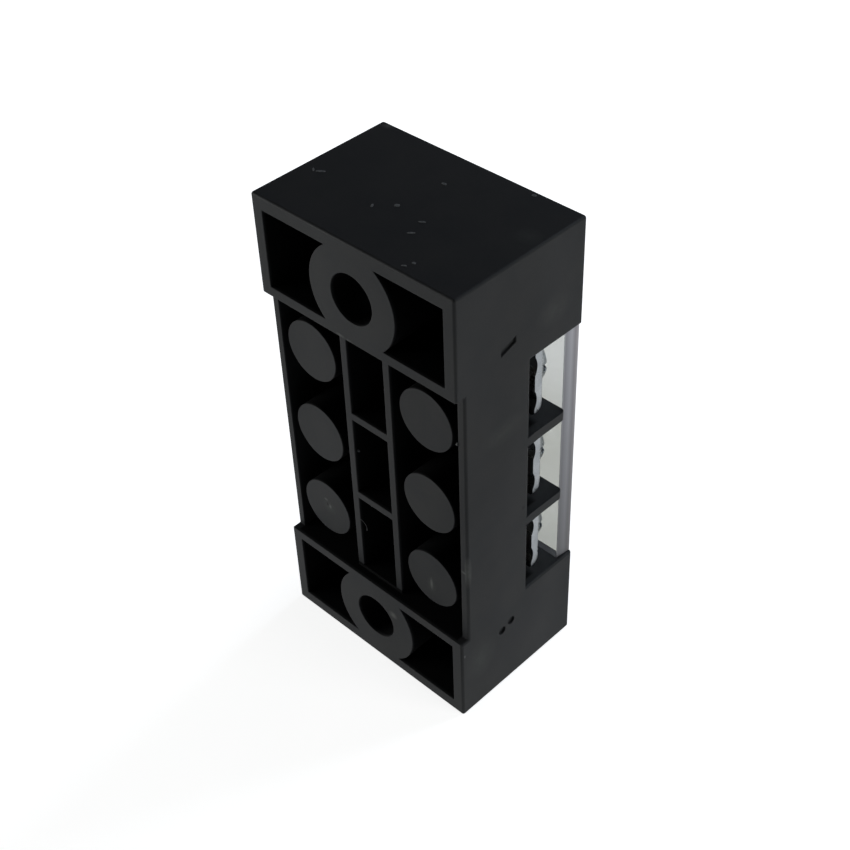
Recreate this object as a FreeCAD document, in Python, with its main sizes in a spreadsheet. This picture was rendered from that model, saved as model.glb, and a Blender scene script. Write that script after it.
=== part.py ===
import FreeCAD, Part
import Sketcher
import os

# A three-pole barrier terminal strip, stood on one end.
# X runs across the strip, Z along it, and +Y from the mounting face towards the clear cover.
# The origin is the middle of the end that it stands on.

doc = FreeCAD.newDocument("barrier_terminal_strip")

# Driving dimensions in millimetres. A drop is measured down from the highest faces of the end
# blocks, every other height up from the plane of the two feet.
SIZES = {
    # moulded block
    "block_width": 22.2,
    "block_height": 14.9,
    "end_block_length": 10.32,
    "edge_radius": 0.25,
    "side_wall_drop": 6.35,
    "side_wall": 0.8,
    # poles: one busbar with a screw at each side of the strip
    "pole_pitch": 9.12,
    "terminal_inset": 4.42,
    "barrier_thickness": 1.0,
    "barrier_drop": 1.75,
    "barrier_corner_radius": 0.4,
    "channel_drop": 7.05,
    "channel_web": 1.2,
    # feet at the two ends, hollow from below
    "foot_set_back": 0.65,
    "foot_height": 0.9,
    "foot_side_wall": 1.2,
    "foot_end_wall": 1.3,
    "foot_inner_wall": 0.95,
    "foot_roof": 2.0,
    # mounting holes, each near the middle of its end block
    "mounting_hole_radius": 2.3,
    "mounting_hole_shift": 0.075,
    "mounting_boss_end_gap": 0.45,
    "head_recess_wall": 0.8,
    "head_recess_depth": 4.5,
    # underside between the feet
    "long_rib_thickness": 0.72,
    "cross_rib_thickness": 0.75,
    "middle_ledge": 0.25,
    "pillar_radius": 2.93,
    "pillar_rib_gap": 0.92,
    "pillar_recess": 0.1,
    "screw_well_radius": 1.8,
    "screw_well_end": 1.8,
    # small moulding marks on one side of the end blocks: a slanted dash and a pair of pits
    "mark_height": 5.9,
    "mark_inset": 7.5,
    "mark_depth": 0.25,
    "dash_length": 1.7,
    "dash_rise": 0.55,
    "dash_width": 0.6,
    "pit_spacing": 1.2,
    "pit_rise": 0.4,
    "pit_radius": 0.42,
    # clear cover, held by two tongues in slotted posts on the barriers
    "cover_edge_inset": 0.24,
    "cover_edge_draft": 0.19,
    "cover_end_clearance": 0.1,
    "cover_seat_clearance": 0.05,
    "cover_edge_radius": 0.12,
    "post_length": 4.0,
    "post_thickness": 2.0,
    "tongue_length": 2.4,
    "tongue_thickness": 0.9,
    "tongue_reach": 3.0,
    "tongue_clearance": 0.08,
    "tongue_end_clearance": 0.4,
    # busbars
    "busbar_thickness": 1.0,
    "busbar_end_clearance": 0.3,
    "busbar_side_clearance": 0.65,
    "busbar_corner_radius": 0.5,
    # terminal screws
    "screw_radius": 1.5,
    "screw_end_clearance": 0.22,
    "screw_tip_chamfer": 0.4,
    "thread_clearance": 0.05,
    "head_radius": 2.7,
    "head_height": 1.6,
    "head_round": 0.6,
    "head_seat_clearance": 0.02,
    "slot_width": 0.7,
    "slot_depth": 0.8,
    "cross_span": 3.2,
    "cross_width": 0.7,
    "cross_depth": 1.1,
    # clamp plates, raised off the busbars as in the photograph
    "clamp_opening": 1.4,
    "clamp_closed_gap": 0.15,
    "plate_wall_clearance": 0.15,
    "plate_side_clearance": 0.6,
    "plate_depth": 1.15,
    "plate_bend_radius": 0.9,
    "plate_corner_radius": 0.4,
    "wire_groove_radius": 1.9,
    "wire_groove_depth": 0.26,
    "wire_groove_inset": 1.7,
    "plate_hole_radius": 1.65,
}
POLES = 3
SAME_PLACE = 1e-4

sheet = doc.addObject("Spreadsheet::Sheet", "dim")
for row, (alias, number) in enumerate(SIZES.items(), start=1):
    sheet.set(f"A{row}", alias)
    sheet.set(f"B{row}", str(number))
    sheet.setAlias(f"B{row}", alias)
doc.recompute()

# Lengths along the strip that several features share, as expressions of the sheet.
SPAN_BETWEEN_ENDS = f"({POLES} * dim.pole_pitch - dim.barrier_thickness)"
BLOCK_LENGTH = f"({SPAN_BETWEEN_ENDS} + 2 * dim.end_block_length)"
FOOT_LENGTH = "(dim.end_block_length - dim.foot_set_back)"
SPAN_BETWEEN_FEET = f"({BLOCK_LENGTH} - 2 * {FOOT_LENGTH})"
HOLE_INSET = "(dim.end_block_length / 2 + dim.mounting_hole_shift)"
HOLE_FROM_MIDDLE = f"({BLOCK_LENGTH} / 2 - {HOLE_INSET})"
BOSS_RADIUS = f"({HOLE_INSET} - dim.mounting_boss_end_gap)"
FIRST_POLE = f"(-{(POLES - 1) / 2} * dim.pole_pitch)"
FIRST_BARRIER = f"(-{(POLES - 2) / 2} * dim.pole_pitch)"
POLE_WINDOW = "(dim.pole_pitch - dim.barrier_thickness)"

# Lengths across the strip.
CHANNEL_HALF = "(dim.block_width / 2 - dim.side_wall)"
TERMINAL_OFFSET = "(dim.block_width / 2 - dim.terminal_inset)"
LONG_RIB_OUTER = f"({TERMINAL_OFFSET} - dim.pillar_radius - dim.pillar_rib_gap)"
LONG_RIB_INNER = f"({LONG_RIB_OUTER} - dim.long_rib_thickness)"

# Heights above the plane of the feet.
SIDE_WALL_TOP = "(dim.block_height - dim.side_wall_drop)"
BARRIER_TOP = "(dim.block_height - dim.barrier_drop)"
CHANNEL_FLOOR = "(dim.block_height - dim.channel_drop)"
CAVITY_ROOF = f"({CHANNEL_FLOOR} - dim.channel_web)"
PLATE_TOP = f"({CHANNEL_FLOOR} + dim.busbar_thickness + dim.clamp_opening + dim.plate_depth)"


def new_body(label):
    """One moulded or pressed piece, named after its file."""
    body = doc.addObject("PartDesign::Body", label)
    body.Label = label
    return body


def place(body, across, up, along):
    """Seats a body in the strip, with up measured from the mounting face."""
    body.setExpression("Placement.Base.x", across)
    body.setExpression("Placement.Base.y", f"{up} - dim.block_height / 2")
    body.setExpression("Placement.Base.z", f"{BLOCK_LENGTH} / 2 + {along}")


def origin_feature(body, role):
    return next(part for part in body.Origin.OriginFeatures if part.Role == role)


def sketch_on(body, name, role, lift="0"):
    """A sketch on one of the body's origin planes, lifted along its normal."""
    sketch = body.newObject("Sketcher::SketchObject", name)
    sketch.AttachmentSupport = [(origin_feature(body, role), "")]
    sketch.MapMode = "FlatFace"
    sketch.setExpression("AttachmentOffset.Base.z", lift)
    return sketch


def plan(body, name, height):
    """A sketch across and along the strip, at a height above the body's base."""
    return sketch_on(body, name, "XZ_Plane", f"-({height})")


def bind(sketch, constraint, expression):
    sketch.setExpression(f"Constraints[{sketch.addConstraint(constraint)}]", expression)


def pin(sketch, shape, point, across, along):
    """Fixes a point of a sketched shape by its two distances from the origin."""
    bind(sketch, Sketcher.Constraint("DistanceX", -1, 1, shape, point, 0.0), across)
    bind(sketch, Sketcher.Constraint("DistanceY", -1, 1, shape, point, 0.0), along)


def polygon(sketch, corners):
    """A closed outline through corners that are pairs of expressions."""
    start_corners = [FreeCAD.Vector(1, 1), FreeCAD.Vector(2, 1), FreeCAD.Vector(2, 2)]
    count = len(corners)
    lines = [
        sketch.addGeometry(Part.LineSegment(start_corners[i % 3], start_corners[(i + 1) % 3]))
        for i in range(count)
    ]
    for i, line in enumerate(lines):
        sketch.addConstraint(Sketcher.Constraint("Coincident", line, 2, lines[(i + 1) % count], 1))
        pin(sketch, line, 1, *corners[i])
    return lines


def rectangle(sketch, across, along, size_across, size_along):
    """A rectangle about the centre (across, along)."""
    left, right = f"{across} - {size_across} / 2", f"{across} + {size_across} / 2"
    low, high = f"{along} - {size_along} / 2", f"{along} + {size_along} / 2"
    return polygon(sketch, [(left, low), (right, low), (right, high), (left, high)])


def circle(sketch, across, along, radius):
    ring = sketch.addGeometry(Part.Circle(FreeCAD.Vector(0, 0), FreeCAD.Vector(0, 0, 1), 1.0))
    pin(sketch, ring, 3, across, along)
    bind(sketch, Sketcher.Constraint("Radius", ring, 1.0), radius)


def pad(body, name, sketch, length, upwards=True, both_ways=False):
    """Adds material; upwards is away from the mounting face for a plan sketch."""
    feature = body.newObject("PartDesign::Pad", name)
    feature.Profile = sketch
    feature.Reversed = upwards
    feature.SideType = "Symmetric" if both_ways else "One side"
    feature.setExpression("Length", length)
    return feature


def pocket(body, name, sketch, length, upwards=True):
    """Takes material away, and makes sure that it did."""
    doc.recompute()
    volume = body.Shape.Volume
    feature = body.newObject("PartDesign::Pocket", name)
    feature.Profile = sketch
    feature.Reversed = not upwards
    feature.setExpression("Length", length)
    doc.recompute()
    if body.Shape.Volume >= volume:
        raise RuntimeError(f"{name} in {body.Label} cuts nothing")
    return feature


def repeat_along(body, name, features, pitch, count):
    """Repeats features along the strip, once for each pole or barrier."""
    pattern = body.newObject("PartDesign::LinearPattern", name)
    pattern.Originals = features
    pattern.Direction = (origin_feature(body, "Z_Axis"), [""])
    pattern.Mode = "Spacing"
    pattern.Occurrences = count
    pattern.setExpression("Offset", pitch)
    body.Tip = pattern
    return pattern


def fillet(body, name, radius, wanted):
    """Rounds the edges of the body so far that the function wanted picks."""
    doc.recompute()
    base = body.Tip
    edges = [f"Edge{i}" for i, edge in enumerate(base.Shape.Edges, start=1) if wanted(edge)]
    feature = body.newObject("PartDesign::Fillet", name)
    feature.Base = (base, edges)
    feature.setExpression("Radius", radius)
    return feature


def reach(shape, axis):
    """Where a shape begins and ends along an axis."""
    return getattr(shape.BoundBox, f"{axis}Min"), getattr(shape.BoundBox, f"{axis}Max")


def lies_at(edge, axis, values):
    """Whether the whole edge lies in one of the planes axis = value."""
    return any(all(abs(end - value) < SAME_PLACE for end in reach(edge, axis)) for value in values)


def make_housing():
    """The black moulded block: side profile, feet, hollow underside and terminal channels."""
    body = new_body("housing")

    # U-shaped side profile: two end blocks joined by the lower terminal platform.
    profile = sketch_on(body, "side_profile", "YZ_Plane")
    low_end, high_end = f"-{BLOCK_LENGTH} / 2", f"{BLOCK_LENGTH} / 2"
    low_step, high_step = f"-{SPAN_BETWEEN_ENDS} / 2", f"{SPAN_BETWEEN_ENDS} / 2"
    polygon(profile, [
        ("0", low_end), ("dim.block_height", low_end), ("dim.block_height", low_step),
        (SIDE_WALL_TOP, low_step), (SIDE_WALL_TOP, high_step),
        ("dim.block_height", high_step), ("dim.block_height", high_end), ("0", high_end),
    ])
    pad(body, "side_to_side", profile, "dim.block_width", both_ways=True)

    # Hollow feet with a round boss for each mounting screw.
    hollow_length = f"({FOOT_LENGTH} - dim.foot_end_wall - dim.foot_inner_wall)"
    hollow_middle = f"({BLOCK_LENGTH} / 2 - dim.foot_end_wall - {hollow_length} / 2)"
    hollow_depth = "dim.block_height - dim.foot_roof"
    hollows = plan(body, "foot_hollow_outline", "0")
    bosses = plan(body, "mounting_boss_outline", "0")
    for side in ("-", ""):
        rectangle(hollows, "0", f"{side}{hollow_middle}",
                  "(dim.block_width - 2 * dim.foot_side_wall)", hollow_length)
    pocket(body, "foot_hollows", hollows, hollow_depth)
    for side in ("-", ""):
        circle(bosses, "0", f"{side}{HOLE_FROM_MIDDLE}", BOSS_RADIUS)
    pad(body, "mounting_bosses", bosses, hollow_depth)

    # The underside between the feet lies a little higher than they do.
    step = plan(body, "underside_step_outline", "0")
    rectangle(step, "0", "0", "dim.block_width", SPAN_BETWEEN_FEET)
    pocket(body, "underside_step", step, "dim.foot_height")

    # Outer edges are slightly rounded. Those of the end faces run right across.
    doc.recompute()
    sides, ends = reach(body.Shape, "X"), reach(body.Shape, "Z")
    fillet(body, "rounded_outside", "dim.edge_radius",
           lambda edge: lies_at(edge, "X", sides)
           or (lies_at(edge, "Z", ends) and edge.Length > SIZES["block_width"] / 2))

    # Two long hollows with a free-standing pillar under each screw, and a middle one in three
    # cells, which stops a little short of the feet.
    cavity_depth = f"({CAVITY_ROOF} - dim.foot_height)"
    side_width = f"({CHANNEL_HALF} - {LONG_RIB_OUTER})"
    side_middle = f"({CHANNEL_HALF} + {LONG_RIB_OUTER}) / 2"
    cavities = plan(body, "underside_hollow_outline", "dim.foot_height")
    rectangle(cavities, f"-{side_middle}", "0", side_width, SPAN_BETWEEN_FEET)
    rectangle(cavities, "0", "0", f"2 * {LONG_RIB_INNER}",
              f"({SPAN_BETWEEN_FEET} - 2 * dim.middle_ledge)")
    rectangle(cavities, side_middle, "0", side_width, SPAN_BETWEEN_FEET)
    pocket(body, "underside_hollows", cavities, cavity_depth)

    cross_rib = plan(body, "cross_rib_outline", "dim.foot_height")
    rectangle(cross_rib, "0", FIRST_BARRIER, f"2 * {LONG_RIB_INNER}", "dim.cross_rib_thickness")
    first_rib = pad(body, "cross_rib", cross_rib, cavity_depth)
    repeat_along(body, "cross_ribs", [first_rib], "dim.pole_pitch", POLES - 1)

    pillars = plan(body, "pillar_outline", "dim.foot_height + dim.pillar_recess")
    for side in ("-", ""):
        circle(pillars, f"{side}{TERMINAL_OFFSET}", FIRST_POLE, "dim.pillar_radius")
    first_pillars = pad(body, "pillar_pair", pillars, f"{cavity_depth} - dim.pillar_recess")
    repeat_along(body, "pillars", [first_pillars], "dim.pole_pitch", POLES)

    # Channel for the busbars between the side walls, parted by the barriers.
    channel = plan(body, "channel_outline", SIDE_WALL_TOP)
    rectangle(channel, "0", "0", f"2 * {CHANNEL_HALF}", SPAN_BETWEEN_ENDS)
    pocket(body, "channel", channel, "dim.channel_drop - dim.side_wall_drop", upwards=False)

    barrier_height = "dim.channel_drop - dim.barrier_drop"
    barrier = plan(body, "barrier_outline", CHANNEL_FLOOR)
    rectangle(barrier, "0", FIRST_BARRIER, "dim.block_width", "dim.barrier_thickness")
    first_barrier = pad(body, "barrier", barrier, barrier_height)
    post = plan(body, "post_outline", CHANNEL_FLOOR)
    rectangle(post, "0", FIRST_BARRIER, "dim.post_length", "dim.post_thickness")
    first_post = pad(body, "post", post, barrier_height)
    slot = plan(body, "tongue_slot_outline", BARRIER_TOP)
    rectangle(slot, "0", FIRST_BARRIER, "(dim.tongue_length + 2 * dim.tongue_clearance)",
              "(dim.tongue_thickness + 2 * dim.tongue_clearance)")
    first_slot = pocket(body, "tongue_slot", slot, "dim.tongue_reach + dim.tongue_end_clearance",
                        upwards=False)
    repeat_along(body, "barriers", [first_barrier, first_post, first_slot],
                 "dim.pole_pitch", POLES - 1)
    barrier_top = SIZES["block_height"] - SIZES["barrier_drop"]
    fillet(body, "rounded_barrier_corners", "dim.barrier_corner_radius",
           lambda edge: lies_at(edge, "X", sides) and lies_at(edge, "Y", (barrier_top,)))

    # Blind wells for the screw ends, down into the pillars.
    wells = plan(body, "screw_well_outline", CHANNEL_FLOOR)
    for side in ("-", ""):
        circle(wells, f"{side}{TERMINAL_OFFSET}", FIRST_POLE, "dim.screw_well_radius")
    first_wells = pocket(body, "screw_well_pair", wells,
                         f"{CHANNEL_FLOOR} - dim.screw_well_end", upwards=False)
    repeat_along(body, "screw_wells", [first_wells], "dim.pole_pitch", POLES)

    # Mounting holes, recessed on the cover side for the screw heads.
    recesses = plan(body, "head_recess_outline", "dim.block_height")
    holes = plan(body, "mounting_hole_outline", "dim.block_height")
    for side in ("-", ""):
        circle(recesses, "0", f"{side}{HOLE_FROM_MIDDLE}",
               f"({BOSS_RADIUS} - dim.head_recess_wall)")
    pocket(body, "head_recesses", recesses, "dim.head_recess_depth", upwards=False)
    for side in ("-", ""):
        circle(holes, "0", f"{side}{HOLE_FROM_MIDDLE}", "dim.mounting_hole_radius")
    pocket(body, "mounting_holes", holes, "dim.block_height", upwards=False)

    # Shallow moulding marks on one side: a slanted dash on one end block, two pits on the other.
    mark_from_middle = f"({BLOCK_LENGTH} / 2 - dim.mark_inset)"
    dash = sketch_on(body, "dash_outline", "YZ_Plane", "dim.block_width / 2")
    dash_start, dash_end = (f"(dim.mark_height {sign} dim.dash_length / 2)" for sign in "-+")
    dash_low, dash_high = (f"{mark_from_middle} {sign} dim.dash_rise / 2" for sign in "-+")
    polygon(dash, [
        (dash_start, f"{dash_low} - dim.dash_width / 2"),
        (dash_end, f"{dash_high} - dim.dash_width / 2"),
        (dash_end, f"{dash_high} + dim.dash_width / 2"),
        (dash_start, f"{dash_low} + dim.dash_width / 2"),
    ])
    pocket(body, "moulding_dash", dash, "dim.mark_depth")
    pits = sketch_on(body, "pit_outline", "YZ_Plane", "dim.block_width / 2")
    for sign in "-+":
        circle(pits, f"dim.mark_height {sign} dim.pit_spacing / 2",
               f"{sign}dim.pit_rise / 2 - {mark_from_middle}", "dim.pit_radius")
    pocket(body, "moulding_pits", pits, "dim.mark_depth")
    place(body, "0", "0", "0")
    return body


def make_cover():
    """The clear clip-on cover, a flat plate with drafted sides; its base plane is its outer face."""
    body = new_body("cover")
    outer_half = "(dim.block_width / 2 - dim.cover_edge_inset)"
    inner_half = f"({outer_half} - dim.cover_edge_draft)"
    inner_face = "-(dim.barrier_drop - dim.cover_seat_clearance)"
    section = sketch_on(body, "plate_section", "XY_Plane")
    polygon(section, [(f"-{inner_half}", inner_face), (inner_half, inner_face),
                      (outer_half, "0"), (f"-{outer_half}", "0")])
    pad(body, "plate", section, f"({SPAN_BETWEEN_ENDS} - 2 * dim.cover_end_clearance)",
        both_ways=True)
    fillet(body, "rounded_edges", "dim.cover_edge_radius",
           lambda edge: lies_at(edge, "Y", (0.0,)))
    tongue = plan(body, "tongue_outline", "0")
    rectangle(tongue, "0", FIRST_BARRIER, "dim.tongue_length", "dim.tongue_thickness")
    first_tongue = pad(body, "tongue", tongue, "dim.barrier_drop + dim.tongue_reach",
                       upwards=False)
    repeat_along(body, "tongues", [first_tongue], "dim.pole_pitch", POLES - 1)
    place(body, "0", "dim.block_height", "0")
    return body


def make_busbar(number, along):
    """A flat plated bar that joins the two terminals of a pole, tapped for their screws."""
    body = new_body(f"busbar_{number}")
    outline = plan(body, "outline", "0")
    rectangle(outline, "0", "0", f"2 * ({CHANNEL_HALF} - dim.busbar_end_clearance)",
              f"({POLE_WINDOW} - 2 * dim.busbar_side_clearance)")
    pad(body, "bar", outline, "dim.busbar_thickness")
    doc.recompute()
    ends, edges = reach(body.Shape, "X"), reach(body.Shape, "Z")
    fillet(body, "rounded_corners", "dim.busbar_corner_radius",
           lambda edge: lies_at(edge, "X", ends) and lies_at(edge, "Z", edges))
    holes = plan(body, "tapped_hole_outline", "dim.busbar_thickness")
    for side in ("-", ""):
        circle(holes, f"{side}{TERMINAL_OFFSET}", "0", "(dim.screw_radius + dim.thread_clearance)")
    pocket(body, "tapped_holes", holes, "dim.busbar_thickness", upwards=False)
    place(body, "0", CHANNEL_FLOOR, along)
    return body


def make_clamp_plate(name, across, along):
    """A square pressure plate: ends bent down, two wire grooves below; its base plane is its top."""
    body = new_body(name)
    outline = plan(body, "outline", "0")
    across_size = "2 * (dim.terminal_inset - dim.side_wall - dim.plate_wall_clearance)"
    along_size = f"({POLE_WINDOW} - 2 * dim.plate_side_clearance)"
    rectangle(outline, "0", "0", f"({across_size})", along_size)
    pad(body, "plate", outline, "dim.plate_depth", upwards=False)
    doc.recompute()
    sides, ends = reach(body.Shape, "X"), reach(body.Shape, "Z")
    fillet(body, "bent_ends", "dim.plate_bend_radius",
           lambda edge: lies_at(edge, "Y", (0.0,)) and lies_at(edge, "Z", ends))
    fillet(body, "rounded_corners", "dim.plate_corner_radius",
           lambda edge: lies_at(edge, "X", sides) and lies_at(edge, "Z", ends))
    grooves = sketch_on(body, "wire_groove_outline", "YZ_Plane", f"{across_size} / 2")
    for side in ("-", ""):
        circle(grooves, "(dim.wire_groove_depth - dim.plate_depth - dim.wire_groove_radius)",
               f"{side}({along_size} / 2 - dim.wire_groove_inset)", "dim.wire_groove_radius")
    pocket(body, "wire_grooves", grooves, across_size)
    hole = plan(body, "screw_hole_outline", "0")
    circle(hole, "0", "0", "dim.plate_hole_radius")
    pocket(body, "screw_hole", hole, "dim.plate_depth", upwards=False)
    place(body, across, PLATE_TOP, along)
    return body


def make_terminal_screw(name, across, along):
    """A pan-head screw with a slot and a cross; its base plane is the underside of the head."""
    body = new_body(name)
    section = sketch_on(body, "half_section", "XY_Plane")
    lowest = "(dim.clamp_opening - dim.clamp_closed_gap - dim.head_seat_clearance)"
    length = f"({PLATE_TOP} - {lowest} - dim.screw_well_end - dim.screw_end_clearance)"
    polygon(section, [
        ("0", f"-{length}"),
        ("dim.screw_radius - dim.screw_tip_chamfer", f"-{length}"),
        ("dim.screw_radius", f"dim.screw_tip_chamfer - {length}"),
        ("dim.screw_radius", "0"),
        ("dim.head_radius", "0"),
        ("dim.head_radius", "dim.head_height"),
        ("0", "dim.head_height"),
    ])
    turned = body.newObject("PartDesign::Revolution", "turned")
    turned.Profile = section
    turned.ReferenceAxis = (section, ["V_Axis"])
    turned.Angle = 360.0
    fillet(body, "rounded_head", "dim.head_round",
           lambda edge: lies_at(edge, "Y", (SIZES["head_height"],)))
    slot = plan(body, "slot_outline", "dim.head_height")
    rectangle(slot, "0", "0", "2 * dim.head_radius", "dim.slot_width")
    pocket(body, "slot", slot, "dim.slot_depth", upwards=False)
    cross = plan(body, "cross_outline", "dim.head_height")
    rectangle(cross, "0", "0", "dim.cross_width", "dim.cross_span")
    pocket(body, "cross", cross, "dim.cross_depth", upwards=False)
    place(body, across, f"{PLATE_TOP} + dim.head_seat_clearance", along)
    return body


pieces = [make_housing(), make_cover()]
for pole in range(1, POLES + 1):
    pole_along = f"({pole - (POLES + 1) / 2}) * dim.pole_pitch"
    pieces.append(make_busbar(pole, pole_along))
    for side_name, side_sign in (("left", "-"), ("right", "")):
        offset = f"{side_sign}{TERMINAL_OFFSET}"
        pieces.append(make_clamp_plate(f"clamp_plate_{pole}_{side_name}", offset, pole_along))
        pieces.append(make_terminal_screw(f"terminal_screw_{pole}_{side_name}", offset, pole_along))
doc.recompute()

for part in doc.Objects:
    if "Invalid" in part.State or "Error" in part.State:
        raise RuntimeError(f"{part.Label} is {part.State}")
os.makedirs("parts", exist_ok=True)
for piece in pieces:
    if piece.Shape.isNull() or not piece.Shape.isValid():
        raise RuntimeError(f"{piece.Label} has no valid shape")
    piece.Shape.exportStep(f"parts/{piece.Label}.step")
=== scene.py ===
import math
import bpy
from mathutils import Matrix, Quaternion, Vector


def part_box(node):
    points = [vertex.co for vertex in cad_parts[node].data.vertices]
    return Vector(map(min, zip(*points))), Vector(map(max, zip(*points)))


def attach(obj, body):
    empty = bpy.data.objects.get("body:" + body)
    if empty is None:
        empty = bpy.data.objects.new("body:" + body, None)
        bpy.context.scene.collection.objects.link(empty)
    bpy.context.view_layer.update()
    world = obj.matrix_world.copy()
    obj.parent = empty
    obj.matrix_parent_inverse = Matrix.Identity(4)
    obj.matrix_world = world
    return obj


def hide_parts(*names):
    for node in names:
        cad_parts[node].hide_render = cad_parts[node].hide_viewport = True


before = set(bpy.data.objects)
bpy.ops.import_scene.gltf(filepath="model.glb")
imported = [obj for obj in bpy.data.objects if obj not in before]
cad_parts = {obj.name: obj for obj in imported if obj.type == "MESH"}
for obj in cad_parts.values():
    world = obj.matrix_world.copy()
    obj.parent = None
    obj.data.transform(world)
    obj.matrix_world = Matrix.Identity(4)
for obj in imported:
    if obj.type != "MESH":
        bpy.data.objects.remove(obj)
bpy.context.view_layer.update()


# Moulded block: one injection moulding in satin black thermoplastic, with hollow feet, end blocks
# and barriers. Its edges are soft as the mould leaves them, and one edge at its foot is worn round.
block_low, block_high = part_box("housing")
strip_middle = (block_low + block_high) / 2


def pick_only(*pieces):
    """Selects these pieces and nothing else; the first is the active one."""
    bpy.ops.object.select_all(action="DESELECT")
    for piece in pieces:
        piece.select_set(True)
    bpy.context.view_layer.objects.active = pieces[0]


def weld_copy(node_name, piece_name):
    """A piece with the shape of a solid from the frame, its loose triangles welded."""
    piece = bpy.data.objects.new(piece_name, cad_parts[node_name].data.copy())
    bpy.context.scene.collection.objects.link(piece)
    pick_only(piece)
    if piece.data.has_custom_normals:
        bpy.ops.mesh.customdata_custom_splitnormals_clear()
    bpy.ops.object.mode_set(mode="EDIT")
    bpy.ops.mesh.select_all(action="SELECT")
    bpy.ops.mesh.remove_doubles(threshold=2e-6)
    bpy.ops.object.mode_set(mode="OBJECT")
    return piece


def whole_faces(piece):
    """Joins the triangles of each flat of a piece."""
    pick_only(piece)
    bpy.ops.object.mode_set(mode="EDIT")
    bpy.ops.mesh.select_all(action="SELECT")
    bpy.ops.mesh.dissolve_limited(angle_limit=math.radians(0.5))
    bpy.ops.object.mode_set(mode="OBJECT")


def soften(piece, width, sharper_than=40):
    """Rounds the sharp edges of a piece, smooths its shading and keeps its flat faces flat."""
    pick_only(piece)
    bevel = piece.modifiers.new("soft_edges", "BEVEL")
    bevel.width = width
    bevel.segments = 2
    bevel.limit_method = "ANGLE"
    bevel.angle_limit = math.radians(sharper_than)
    bevel.use_clamp_overlap = False
    bpy.ops.object.modifier_apply(modifier="soft_edges")
    bpy.ops.object.shade_smooth_by_angle(angle=math.radians(sharper_than))
    level = piece.modifiers.new("level_faces", "WEIGHTED_NORMAL")
    level.mode = "FACE_AREA"
    level.weight = 50
    level.keep_sharp = True
    bpy.ops.object.modifier_apply(modifier="level_faces")


def give_material(piece, *materials):
    """Puts these materials on a piece in place of its own."""
    piece.data.materials.clear()
    for material in materials:
        piece.data.materials.append(material)


def add_node(material, kind, sockets=None, **settings):
    """Adds a shader node, with numbers set on its sockets and other nodes' outputs linked to them."""
    node = material.node_tree.nodes.new(kind)
    for name, value in settings.items():
        setattr(node, name, value)
    for name, value in (sockets or {}).items():
        if isinstance(value, bpy.types.NodeSocket):
            material.node_tree.links.new(value, node.inputs[name])
        else:
            node.inputs[name].default_value = value
    return node


def new_material(name):
    """An empty material with its output node and the piece's own coordinates."""
    material = bpy.data.materials.new(name)
    material.use_nodes = True
    material.node_tree.nodes.clear()
    output = add_node(material, "ShaderNodeOutputMaterial")
    place = add_node(material, "ShaderNodeTexCoord").outputs["Object"]
    return material, output, place


def ramp(material, factor, stops):
    """A colour ramp through (position, colour) stops."""
    node = add_node(material, "ShaderNodeValToRGB", {"Fac": factor})
    elements = node.color_ramp.elements
    for i, (position, colour) in enumerate(stops):
        element = elements[i] if i < 2 else elements.new(position)
        element.position = position
        element.color = (*colour, 1.0)
    return node.outputs["Color"]


def noise(material, place, scale, detail=3.0, roughness=0.5, squeeze=None):
    """Noise on the piece's own coordinates, in features per metre."""
    if squeeze:
        place = add_node(material, "ShaderNodeMapping",
                         {"Vector": place, "Scale": squeeze}).outputs["Vector"]
    return add_node(material, "ShaderNodeTexNoise", {
        "Vector": place, "Scale": scale, "Detail": detail, "Roughness": roughness}).outputs["Fac"]


def blot(material, place, at, reach):
    """A soft spot on the surface: 1 at its middle, 0 at its reach along each axis."""
    local = add_node(material, "ShaderNodeMapping", {"Vector": place, "Location": at, "Scale": reach},
                     vector_type="TEXTURE").outputs["Vector"]
    return add_node(material, "ShaderNodeTexGradient", {"Vector": local},
                    gradient_type="SPHERICAL").outputs["Fac"]


def calculate(material, operation, first, second=0.0, clamp=False):
    """The outcome of a maths node on two values."""
    return add_node(material, "ShaderNodeMath", {0: first, 1: second}, operation=operation,
                    use_clamp=clamp).outputs[0]


def stretch(material, value, start, end, low=0.0, high=1.0):
    """A value between start and end, stretched over low to high and held there beyond them."""
    return add_node(material, "ShaderNodeMapRange", {
        "Value": value, "From Min": start, "From Max": end,
        "To Min": low, "To Max": high}).outputs["Result"]


def tint(material, factor, colour, tone, how="MIX"):
    """A colour mixed with a tone, or multiplied by it."""
    return add_node(material, "ShaderNodeMix", {0: factor, 6: colour, 7: tone}, data_type="RGBA",
                    blend_type=how).outputs[2]


def bumps(material, height, strength, distance=0.00001):
    """Fine relief from a height, for a shader's normal."""
    return add_node(material, "ShaderNodeBump", {
        "Height": height, "Strength": strength, "Distance": distance}).outputs["Normal"]


def show(material, shader, output):
    """Links a shader to the output of its material."""
    material.node_tree.links.new(shader.outputs[0], output.inputs["Surface"])


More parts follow.
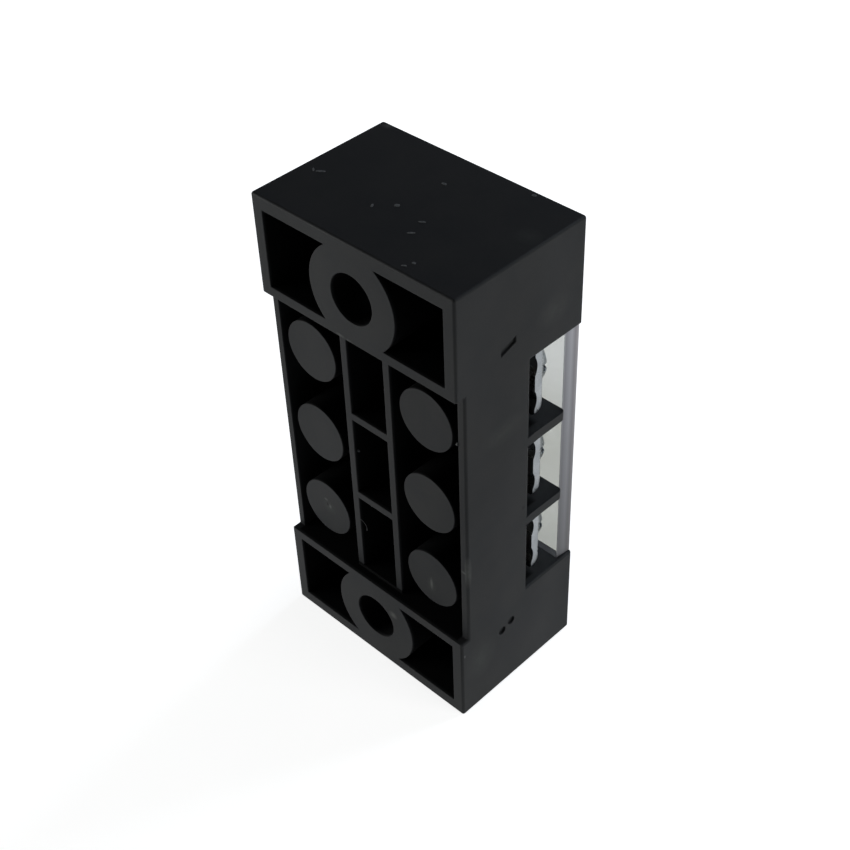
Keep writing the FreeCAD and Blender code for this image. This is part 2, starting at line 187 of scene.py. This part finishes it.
def wear_and_painted_highlights(material, place, colour):
    """Adds rubbed smudges, pale scuffed spots and dark nicks, each a place and its reach, to a colour; two
    of the pale spots are painted highlights.
    """
    smudges = (
        ((0.0111, -0.0020, 0.0312), (0.0004, 0.0030, 0.0014)),
        ((0.0111, 0.0038, 0.0400), (0.0004, 0.0024, 0.0016)),
        ((0.0096, 0.0023, 0.0470), (0.0014, 0.0012, 0.0004)),
        ((0.0066, -0.00645, 0.0135), (0.0006, 0.0004, 0.0012)),
        ((-0.0064, -0.00645, 0.0146), (0.0010, 0.0004, 0.0009)),
        ((0.0111, -0.0050, 0.0060), (0.0004, 0.0022, 0.0028)))
    scuffs_and_highlights = (
        ((-0.0101, 0.0070, 0.0470), (0.0007, 0.0005, 0.0003)),
        ((0.01105, -0.0065, 0.0182), (0.0004, 0.0005, 0.0021)),
        ((0.0107, -0.0066, 0.0180), (0.0007, 0.0003, 0.0002)),
        ((0.0066, -0.00645, 0.0137), (0.0002, 0.0004, 0.0009)),
        ((-0.0068, -0.00645, 0.0153), (0.0003, 0.0004, 0.0002)),
        ((-0.0063, -0.00645, 0.0147), (0.0002, 0.0004, 0.0003)),
        ((0.0024, -0.00745, 0.0072), (0.0006, 0.0004, 0.0005)),
        # The next two pale spots, on the inner edge of the upper foot, are painted highlights, not wear.
        ((-0.0016, -0.00745, 0.0375), (0.0006, 0.0004, 0.0002)),
        ((-0.0006, -0.00745, 0.0374), (0.0005, 0.0004, 0.0002)))
    nicks = (
        ((0.0111, 0.0005, 0.0209), (0.0003, 0.0003, 0.0003)),
        ((-0.00665, -0.00645, 0.0148), (0.0002, 0.0004, 0.0003)))
    patchy = noise(material, place, 1500.0, detail=4.0, roughness=0.65)
    for spots, tone in ((smudges, (0.023, 0.0245, 0.0235, 1.0)), (scuffs_and_highlights, (0.060, 0.062, 0.059, 1.0)),
                        (nicks, (0.001, 0.001, 0.001, 1.0))):
        wear_and_highlight = blot(material, place, *spots[0])
        for at, reach in spots[1:]:
            wear_and_highlight = calculate(material, "MAXIMUM", wear_and_highlight, blot(material, place, at, reach))
        wear_and_highlight = calculate(material, "MULTIPLY", wear_and_highlight, patchy)
        wear_and_highlight = calculate(material, "MULTIPLY", wear_and_highlight, 1.8, clamp=True)
        colour = tint(material, wear_and_highlight, colour, tone)
    return colour


def painted_hollow_shade_mask(material, split):
    """1 on the outside of the moulding and 0 in its hollows, a mask for painted shade on the hollows'
    walls.
    """
    foot_start, foot_rise = 0.0134, 0.0009
    across = calculate(material, "ABSOLUTE", split.outputs["X"])
    along = calculate(material, "SUBTRACT", split.outputs["Z"], strip_middle.z)
    along = calculate(material, "ABSOLUTE", along)
    in_foot = stretch(material, along, foot_start, foot_start + 0.0001, high=foot_rise)
    depth = calculate(material, "ADD", split.outputs["Y"], in_foot)
    outside = 0.0
    for distance, in_hollow, on_outside in ((across, 0.0102, 0.0104), (along, 0.0224, 0.0227),
                                            (depth, -0.0062, -0.00645), (depth, 0.0026, 0.0032)):
        reached = stretch(material, distance, in_hollow, on_outside)
        outside = calculate(material, "MAXIMUM", reached, outside)
    return outside


def satin_black():
    material, output, place = new_material("moulded_black")
    split = add_node(material, "ShaderNodeSeparateXYZ", {"Vector": place})
    mottle = noise(material, place, 240.0, detail=4.0)
    grain = noise(material, place, 8000.0, detail=2.0)
    flow = noise(material, place, 90.0, detail=2.0, squeeze=(1.0, 1.0, 0.35))
    colour = ramp(material, mottle, [(0.3, (0.0112, 0.0120, 0.0130)), (0.7, (0.0152, 0.0155, 0.0156))])
    colour = wear_and_painted_highlights(material, place, colour)
    # Painted shade: the hollows' walls are painted darker, down to a quarter of their colour, and lose
    # their reflections.
    hollow_painted_shade = stretch(material, painted_hollow_shade_mask(material, split), 0.0, 1.0, 0.25, 1.0)
    # Painted light: the moulding is painted paler towards its lower end.
    painted_light_low = stretch(material, split.outputs["Z"], 0.010, 0.026, 1.26, 1.0)
    shade = calculate(material, "MULTIPLY", painted_light_low, hollow_painted_shade)
    plastic = add_node(material, "ShaderNodeBsdfPrincipled", {
        "Base Color": tint(material, 1.0, colour, shade, "MULTIPLY"),
        "Roughness": stretch(material, flow, 0.3, 0.7, 0.52, 0.64),
        "Normal": bumps(material, grain, 0.35, distance=0.00002),
        "Specular IOR Level": calculate(material, "MULTIPLY", hollow_painted_shade, 0.1), "IOR": 1.5})
    show(material, plastic, output)
    return material


worn_corner, moulded_edge, touching = 0.0005, 0.00006, 1e-5
housing_body = weld_copy("housing", "moulded_block")
whole_faces(housing_body)
bpy.ops.object.mode_set(mode="EDIT")
bpy.ops.mesh.select_mode(type="EDGE")
bpy.ops.mesh.select_all(action="DESELECT")
bpy.ops.object.mode_set(mode="OBJECT")
for edge in housing_body.data.edges:
    ends = [housing_body.data.vertices[end].co for end in edge.vertices]
    edge.select = all(abs(end.z - block_low.z) < touching and abs(end.x - block_low.x) < touching
                      for end in ends)
bpy.ops.object.mode_set(mode="EDIT")
bpy.ops.mesh.bevel(offset=worn_corner, segments=4, affect="EDGES")
bpy.ops.object.mode_set(mode="OBJECT")
soften(housing_body, moulded_edge)
give_material(housing_body, satin_black())
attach(housing_body, "housing")
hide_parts("housing")


# Busbars: three flat brass bars, dull nickel plated, that lie in the channel under the plates and
# join the two screws of a pole.
def plated_metal(name, tones, cloud_scale, streak_scale, streaks_along, roughness, relief):
    """Plating in two tones, with clouds and fine streaks; the streaks set its roughness."""
    material, output, place = new_material(name)
    cloud = noise(material, place, cloud_scale, detail=4.0)
    streaks = noise(material, place, streak_scale, squeeze=streaks_along)
    metal = add_node(material, "ShaderNodeBsdfPrincipled", {
        "Base Color": ramp(material, cloud, [(0.3, tones[0]), (0.7, tones[1])]),
        "Roughness": stretch(material, streaks, 0.3, 0.7, *roughness),
        "Normal": bumps(material, streaks, relief), "Metallic": 1.0})
    show(material, metal, output)
    return material


bar_plating = plated_metal("nickel_plated_brass", ((0.24, 0.22, 0.19), (0.34, 0.32, 0.28)), 420.0, 1500.0,
                           streaks_along=(0.08, 1.0, 1.0), roughness=(0.34, 0.50), relief=0.25)
for pole in (1, 2, 3):
    give_material(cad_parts[f"busbar_{pole}"], bar_plating)


# Clamp plates: six square pressure plates pressed from steel strip and zinc plated, with two wire
# grooves below. Each hangs loose on its screw under the head.
def zinc_plate(name, streaks_along):
    return plated_metal(name, ((0.22, 0.235, 0.245), (0.30, 0.315, 0.325)), 700.0, 3000.0,
                        streaks_along, roughness=(0.22, 0.40), relief=0.3)


def copy_to(first, name, offset):
    """Another piece of the same shape with its own mesh, moved by an offset."""
    piece = bpy.data.objects.new(name, first.data.copy())
    bpy.context.scene.collection.objects.link(piece)
    pick_only(piece)
    bpy.ops.transform.translate(value=offset)
    bpy.ops.object.transform_apply(location=True, rotation=False, scale=False)
    return piece


def middle(node_name):
    low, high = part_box(node_name)
    return (low + high) / 2


terminals = [(pole, side) for pole in (1, 2, 3) for side in ("left", "right")]
pressed_edge = 0.00002
pattern_plate = weld_copy("clamp_plate_1_left", "pressure_plate_1_left")
whole_faces(pattern_plate)
soften(pattern_plate, pressed_edge)
give_material(pattern_plate, zinc_plate("zinc_plated_strip", (0.1, 1.0, 1.0)))
for pole, side in terminals:
    node_name = f"clamp_plate_{pole}_{side}"
    if (pole, side) == terminals[0]:
        plate = pattern_plate
    else:
        plate = copy_to(pattern_plate, f"pressure_plate_{pole}_{side}",
                        middle(node_name) - middle("clamp_plate_1_left"))
    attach(plate, node_name)
    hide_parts(node_name)


# Terminal screws: six M3 steel pan-head screws with a slot and a cross, zinc plated. Their rolled
# threads run through the busbars into blind wells in the block.
def take_away(piece, cutter):
    """Cuts the shape of a cutter out of a piece and removes the cutter."""
    pick_only(piece)
    cut = piece.modifiers.new("cut", "BOOLEAN")
    cut.operation, cut.solver, cut.object = "DIFFERENCE", "EXACT", cutter
    bpy.ops.object.modifier_apply(modifier="cut")
    bpy.data.objects.remove(cutter)


def pick_points(piece, wanted):
    """In edit mode, selects the points of a piece whose place is wanted, and nothing else."""
    bpy.ops.mesh.select_mode(type="VERT")
    bpy.ops.mesh.select_all(action="DESELECT")
    bpy.ops.object.mode_set(mode="OBJECT")
    for point in piece.data.vertices:
        point.select = wanted(point.co)
    bpy.ops.object.mode_set(mode="EDIT")


head_radius, head_height, head_round, head_edge = 0.0027, 0.0016, 0.0006, 0.00004
slot_length, slot_width, slot_depth = 2.2 * head_radius, 0.0007, 0.0008
cross_span, cross_width, cross_depth = 0.0032, 0.0007, 0.0011
thread_pitch, crest_radius, root_radius, crest_width = 0.0005, 0.0015, 0.0012, 0.00006
screw_low, screw_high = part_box("terminal_screw_1_left")
screw_x, screw_z = middle("terminal_screw_1_left").x, middle("terminal_screw_1_left").z
head_base = screw_high.y - head_height

bpy.ops.object.select_all(action="DESELECT")
bpy.ops.mesh.primitive_cylinder_add(vertices=96, radius=head_radius, depth=head_height,
                                    location=(screw_x, head_base + head_height / 2, screw_z),
                                    rotation=(math.radians(-90), 0, 0))
screw = bpy.context.active_object
screw.name = "pan_head_screw_1_left"
bpy.ops.object.transform_apply(location=True, rotation=True, scale=True)
bpy.ops.object.mode_set(mode="EDIT")
pick_points(screw, lambda point: abs(point.y - screw_high.y) < 1e-6)
bpy.ops.mesh.bevel(offset=head_round, segments=10, affect="EDGES")
bpy.ops.object.mode_set(mode="OBJECT")
for across, along, depth in ((slot_length, slot_width, slot_depth),
                             (cross_width, cross_span, cross_depth)):
    bpy.ops.object.select_all(action="DESELECT")
    bpy.ops.mesh.primitive_cube_add(size=1, location=(screw_x, screw_high.y, screw_z),
                                    scale=(across, 2 * depth, along))
    recess = bpy.context.active_object
    bpy.ops.object.transform_apply(location=True, rotation=True, scale=True)
    take_away(screw, recess)
soften(screw, head_edge, sharper_than=50)

thread_into_head, tip_taper, tip_share = 0.0002, 0.0004, 0.86
thread_top, thread_tip = head_base + thread_into_head, screw_low.y
thread_turns = math.ceil((thread_top - thread_tip) / thread_pitch) + 2
ridge_middle = thread_tip - thread_pitch / 2
bpy.ops.object.select_all(action="DESELECT")
bpy.ops.mesh.primitive_plane_add(size=thread_pitch,
                                 location=(root_radius + thread_pitch / 2, ridge_middle, 0))
shank = bpy.context.active_object
bpy.ops.object.transform_apply(location=True, rotation=True, scale=True)
bpy.ops.object.mode_set(mode="EDIT")
pick_points(shank, lambda point: point.x > root_radius + thread_pitch / 2)
bpy.ops.mesh.delete(type="VERT")
bpy.ops.mesh.select_all(action="SELECT")
bpy.ops.mesh.subdivide(number_cuts=2)
pick_points(shank, lambda point: abs(point.y - ridge_middle) < thread_pitch / 4)
bpy.ops.transform.translate(value=(crest_radius - root_radius, 0, 0))
bpy.ops.transform.resize(value=(1, 3 * crest_width / thread_pitch, 1),
                         center_override=(crest_radius, ridge_middle, 0))
bpy.ops.object.mode_set(mode="OBJECT")
thread = shank.modifiers.new("thread", "SCREW")
thread.axis = "Y"
thread.screw_offset = thread_pitch
thread.iterations = thread_turns
thread.steps = thread.render_steps = 48
thread.use_merge_vertices = True
thread.merge_threshold = 1e-6
bpy.ops.object.modifier_apply(modifier="thread")
bpy.ops.transform.translate(value=(screw_x, 0, screw_z))
bpy.ops.object.transform_apply(location=True, rotation=True, scale=True)
bpy.ops.object.mode_set(mode="EDIT")
bpy.ops.mesh.select_all(action="SELECT")
bpy.ops.mesh.remove_doubles(threshold=1e-6)
for cut_at, keep_above in ((thread_tip, True), (thread_top, False)):
    bpy.ops.mesh.select_all(action="SELECT")
    bpy.ops.mesh.bisect(plane_co=(0, cut_at, 0), plane_no=(0, 1, 0),
                        clear_inner=keep_above, clear_outer=not keep_above)
bpy.ops.mesh.select_all(action="SELECT")
bpy.ops.mesh.fill_holes(sides=0)
pick_points(shank, lambda point: point.y < thread_tip + tip_taper)
bpy.ops.transform.resize(value=(tip_share, 1, tip_share),
                         center_override=(screw_x, thread_tip, screw_z))
bpy.ops.mesh.select_all(action="SELECT")
bpy.ops.mesh.normals_make_consistent(inside=False)
bpy.ops.object.mode_set(mode="OBJECT")
bpy.ops.object.shade_smooth_by_angle(angle=math.radians(30))
pick_only(screw, shank)
bpy.ops.object.join()

give_material(screw, zinc_plate("zinc_plated_screw", (1.0, 1.0, 1.0)))
pattern_screw = screw
for pole, side in terminals:
    node_name = f"terminal_screw_{pole}_{side}"
    if (pole, side) == terminals[0]:
        screw = pattern_screw
    else:
        screw = copy_to(pattern_screw, f"pan_head_screw_{pole}_{side}",
                        middle(node_name) - middle("terminal_screw_1_left"))
    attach(screw, node_name)
    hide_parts(node_name)


# Cover: one flat clear polycarbonate moulding, clipped on between the end blocks by two tongues
# that go into the slotted posts of the barriers.
cover_start, cover_end, edge_low, edge_high = 0.0104, 0.0366, 0.00575, 0.00745
cover_edge, side_faces_from = 0.00003, 0.0100


def mix_shaders(material, factor, first, second):
    """The first shader where the factor is 0 and the second where it is 1."""
    mix = add_node(material, "ShaderNodeMixShader", {0: factor})
    material.node_tree.links.new(first.outputs[0], mix.inputs[1])
    material.node_tree.links.new(second.outputs[0], mix.inputs[2])
    return mix


def clear_moulding():
    material, output, place = new_material("clear_polycarbonate")
    haze = noise(material, place, 300.0)
    rub = noise(material, place, 2200.0, detail=2.0, squeeze=(1.0, 1.0, 0.12))
    along = add_node(material, "ShaderNodeSeparateXYZ", {"Vector": place}).outputs["Z"]
    yellowed = ramp(material, stretch(material, along, cover_start, cover_end), [
        (0.60, (0.64, 0.645, 0.59)), (0.80, (0.79, 0.795, 0.755))])
    plastic = add_node(material, "ShaderNodeBsdfPrincipled", {
        "Base Color": yellowed, "Roughness": stretch(material, haze, 0.35, 0.75, 0.02, 0.09),
        "Normal": bumps(material, rub, 0.06), "Transmission Weight": 1.0, "IOR": 1.585})
    shade = add_node(material, "ShaderNodeBsdfTransparent", {"Color": (0.82, 0.83, 0.84, 1.0)})
    rays = add_node(material, "ShaderNodeLightPath")
    show(material, mix_shaders(material, rays.outputs["Is Shadow Ray"], plastic, shade), output)
    return material


def painted_edge_reflections():
    material, output, place = new_material("polycarbonate_edge_painted_reflections")
    split = add_node(material, "ShaderNodeSeparateXYZ", {"Vector": place})
    # Painted reflections: dark and pale bands across the edge's thickness, with a painted highlight at its
    # outer rim.
    colour = ramp(material, stretch(material, split.outputs["Y"], edge_low, edge_high), [
        (0.0, (0.34, 0.34, 0.36)), (0.12, (0.17, 0.17, 0.19)), (0.30, (0.25, 0.25, 0.28)),
        (0.50, (0.33, 0.33, 0.36)), (0.72, (0.19, 0.18, 0.20)), (0.86, (0.28, 0.26, 0.28)),
        (0.97, (0.52, 0.52, 0.54))])
    # Painted light: the edge is painted darker towards its lower end and brighter towards its upper end.
    painted_edge_light_along = stretch(material, split.outputs["Z"], cover_start, cover_end, 0.28, 1.40)
    rub = noise(material, place, 1800.0, squeeze=(1.0, 1.0, 0.15))
    plastic = add_node(material, "ShaderNodeBsdfPrincipled", {
        "Base Color": tint(material, 1.0, colour, painted_edge_light_along, "MULTIPLY"), "Roughness": 0.45,
        "Normal": bumps(material, rub, 0.3), "Transmission Weight": 0.3, "IOR": 1.585})
    show(material, plastic, output)
    return material


clear_cover = weld_copy("cover", "clear_cover")
whole_faces(clear_cover)
soften(clear_cover, cover_edge)
give_material(clear_cover, clear_moulding(), painted_edge_reflections())
bpy.ops.object.mode_set(mode="EDIT")
bpy.ops.mesh.select_mode(type="FACE")
bpy.ops.mesh.select_all(action="DESELECT")
bpy.ops.object.mode_set(mode="OBJECT")
for face in clear_cover.data.polygons:
    face.select = abs(face.normal.x) > 0.9 and abs(face.center.x) > side_faces_from
clear_cover.active_material_index = 1
bpy.ops.object.mode_set(mode="EDIT")
bpy.ops.object.material_slot_assign()
bpy.ops.object.mode_set(mode="OBJECT")
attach(clear_cover, "cover")
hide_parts("cover")


# Dust: pale flakes that lie on the end on top, and a bent hair and a few specks caught on the
# underside. They are loose on the moulding and go with it.
def dusty_grey():
    material, output, place = new_material("dusty_grey")
    lint = noise(material, place, 6000.0)
    colour = ramp(material, lint, [(0.3, (0.065, 0.068, 0.072)), (0.7, (0.120, 0.122, 0.120))])
    fluff = add_node(material, "ShaderNodeBsdfPrincipled", {
        "Base Color": colour, "Roughness": 0.9, "Specular IOR Level": 0.1})
    show(material, fluff, output)
    return material


def flake(at, across, turn, seed):
    """A crumpled flake of dust at a place, of three widths, turned about the strip's length."""
    bpy.ops.object.select_all(action="DESELECT")
    bpy.ops.mesh.primitive_ico_sphere_add(subdivisions=2, radius=0.5, location=at,
                                          rotation=(0, 0, math.radians(turn)), scale=across)
    crumb = bpy.context.active_object
    bpy.ops.object.transform_apply(location=True, rotation=True, scale=True)
    bpy.ops.object.mode_set(mode="EDIT")
    bpy.ops.mesh.select_all(action="SELECT")
    bpy.ops.transform.vertex_random(offset=crumple * min(across), seed=seed)
    bpy.ops.object.mode_set(mode="OBJECT")
    return crumb


flake_thickness, flake_lift, crumple = 0.00006, 0.00001, 0.12
crumbs = []
for x, y, long, wide, turn in (
        (-0.00905, -0.00168, 0.00085, 0.00030, 35), (-0.00970, -0.00188, 0.00055, 0.00018, -40),
        (-0.00229, -0.00252, 0.00022, 0.00050, 30), (-0.00083, -0.00123, 0.00050, 0.00044, 10),
        (0.00225, -0.00161, 0.00060, 0.00026, 35), (0.00268, -0.00325, 0.00066, 0.00026, 40),
        (-0.00025, 0.00346, 0.00052, 0.00032, 0), (0.00531, -0.00666, 0.00044, 0.00022, 30),
        (0.00564, -0.00595, 0.00036, 0.00030, 0), (0.00622, 0.00685, 0.00044, 0.00034, 20)):
    crumbs.append(flake((x, y, block_high.z + flake_lift), (long, wide, flake_thickness), turn,
                        len(crumbs)))
for at, across in (
        ((-0.00200, -0.00618, 0.02402), (0.00034, 0.00018, 0.00032)),
        ((0.00290, -0.00114, 0.02151), (0.00016, 0.00046, 0.00040)),
        ((-0.00204, -0.00125, 0.01124), (0.00014, 0.00036, 0.00030)),
        ((0.01025, -0.00660, 0.03234), (0.00018, 0.00016, 0.00036)),
        ((0.01108, -0.00712, 0.00800), (0.00008, 0.00016, 0.00050))):
    crumbs.append(flake(at, across, 0, len(crumbs)))

hair_bend, hair_thickness, hair_middle = 0.00074, 0.00006, (-0.00210, -0.00650, 0.01510)
bpy.ops.object.select_all(action="DESELECT")
bpy.ops.mesh.primitive_torus_add(major_radius=hair_bend, minor_radius=hair_thickness / 2, major_segments=48,
                                 minor_segments=8, location=hair_middle,
                                 rotation=(math.radians(90), 0, 0))
hair = bpy.context.active_object
bpy.ops.object.transform_apply(location=True, rotation=True, scale=True)
bpy.ops.object.mode_set(mode="EDIT")
for cut_at, facing in (((-0.00215, 0, 0.0151), (1, 0, 0)), ((-0.0021, 0, 0.01495), (0, 0, 1))):
    bpy.ops.mesh.select_all(action="SELECT")
    bpy.ops.mesh.bisect(plane_co=cut_at, plane_no=facing, clear_inner=True)
bpy.ops.mesh.select_all(action="SELECT")
bpy.ops.mesh.fill_holes(sides=0)
bpy.ops.object.mode_set(mode="OBJECT")
pick_only(hair, *crumbs)
bpy.ops.object.join()
dust = bpy.context.active_object
dust.name = "dust"
give_material(dust, dusty_grey())
bpy.ops.object.shade_smooth()
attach(dust, "housing")


# Table: a plain white matt sheet, wide enough to fill the view. It shows white and keeps a soft
# shadow of the strip.
def white_table():
    material, output, place = new_material("white_table")
    fibre = noise(material, place, 60.0)
    colour = ramp(material, fibre, [(0.3, (0.80, 0.80, 0.80)), (0.7, (0.84, 0.84, 0.84))])
    matt = add_node(material, "ShaderNodeBsdfDiffuse", {"Color": colour})
    glow = add_node(material, "ShaderNodeEmission", {"Color": (1.0, 1.0, 1.0, 1.0), "Strength": 0.78})
    none = add_node(material, "ShaderNodeEmission", {"Strength": 0.0})
    rays = add_node(material, "ShaderNodeLightPath").outputs
    through_cover = rays["Is Transmission Ray"]
    seen = calculate(material, "ADD", rays["Is Camera Ray"], rays["Is Glossy Ray"])
    seen = calculate(material, "ADD", seen, through_cover, clamp=True)
    dimmed = add_node(material, "ShaderNodeMath", {0: through_cover, 1: -0.5, 2: 1.0},
                      operation="MULTIPLY_ADD").outputs[0]
    light = mix_shaders(material, calculate(material, "MULTIPLY", seen, dimmed), none, glow)
    both = add_node(material, "ShaderNodeAddShader")
    material.node_tree.links.new(matt.outputs[0], both.inputs[0])
    material.node_tree.links.new(light.outputs[0], both.inputs[1])
    show(material, both, output)
    return material


bpy.ops.object.select_all(action="DESELECT")
bpy.ops.mesh.primitive_circle_add(vertices=64, radius=3.0, fill_type="NGON", location=(0, 0, 0))
table = bpy.context.active_object
table.name = "table"
give_material(table, white_table())


# Light: a pale room and three soft lamps, low at the left and the right and higher at the back, so
# that the end on top and the hollows stay darker than the upright sides.
room = bpy.data.worlds.new("room")
bpy.context.scene.world = room
room.use_nodes = True
room.node_tree.nodes.clear()
facing = add_node(room, "ShaderNodeTexCoord").outputs["Generated"]
height = add_node(room, "ShaderNodeSeparateXYZ", {"Vector": facing}).outputs["Z"]
walls = ramp(room, height, [(0.0, (1.0, 1.0, 1.0)), (0.20, (0.35, 0.36, 0.38)),
                            (0.50, (0.10, 0.105, 0.13)), (0.80, (0.04, 0.043, 0.055))])
fill = add_node(room, "ShaderNodeBackground", {"Color": (0.90, 0.95, 1.0, 1.0), "Strength": 0.06})
mirrored = add_node(room, "ShaderNodeBackground", {"Color": walls, "Strength": 1.0})
backdrop = add_node(room, "ShaderNodeBackground", {"Color": (1.0, 1.0, 1.0, 1.0), "Strength": 1.0})
rays = add_node(room, "ShaderNodeLightPath").outputs
in_gloss = calculate(room, "ADD", rays["Is Glossy Ray"], rays["Is Transmission Ray"], clamp=True)
indirect = mix_shaders(room, in_gloss, fill, mirrored)
sky = mix_shaders(room, rays["Is Camera Ray"], indirect, backdrop)
show(room, sky, add_node(room, "ShaderNodeOutputWorld"))

lamp_distance, lamp_width, lamp_height = 0.5, 0.30, 0.10
for lamp_name, bearing, rise, energy, colour in (
        ("left_lamp", -50, 7, 1.85, (0.985, 1.0, 0.975)),
        ("right_lamp", 105, 7, 1.05, (0.985, 1.0, 0.975)),
        ("back_lamp", 170, 30, 1.25, (0.80, 0.88, 1.0))):
    lamp_bearing, lamp_rise = math.radians(bearing), math.radians(rise)
    toward_lamp = Vector((math.sin(lamp_bearing) * math.cos(lamp_rise),
                          -math.cos(lamp_bearing) * math.cos(lamp_rise), math.sin(lamp_rise)))
    bpy.ops.object.light_add(type="AREA", location=strip_middle + toward_lamp * lamp_distance)
    lamp = bpy.context.active_object
    lamp.name = lamp_name
    lamp.rotation_euler = toward_lamp.to_track_quat("Z", "Y").to_euler()
    lamp.data.shape = "RECTANGLE"
    lamp.data.size, lamp.data.size_y = lamp_width, lamp_height
    lamp.data.energy = energy
    lamp.data.color = colour


# Camera: at the bearing, rise, roll and distance that a fit to the photograph gave. It has no
# shift and no depth of field.
camera_bearing, camera_rise, camera_roll = 0.796673, 0.714084, -0.041836
camera_distance, camera_right, camera_up = 0.129775, -0.0000173, 0.000477
back = Vector((math.sin(camera_bearing) * math.cos(camera_rise),
               -math.cos(camera_bearing) * math.cos(camera_rise), math.sin(camera_rise)))
turned = back.to_track_quat("Z", "Y") @ Quaternion((0, 0, 1), camera_roll)
bpy.ops.object.camera_add()
camera = bpy.context.active_object
camera.name = "camera"
camera.location = (strip_middle + back * camera_distance
                   + turned @ Vector((camera_right, camera_up, 0)))
camera.rotation_euler = turned.to_euler()
camera.data.sensor_width = 36.0
camera.data.lens = 62.32
camera.data.clip_start = 0.005
camera.data.clip_end = 20.0
bpy.context.scene.camera = camera
bpy.context.scene.view_settings.view_transform = "Standard"
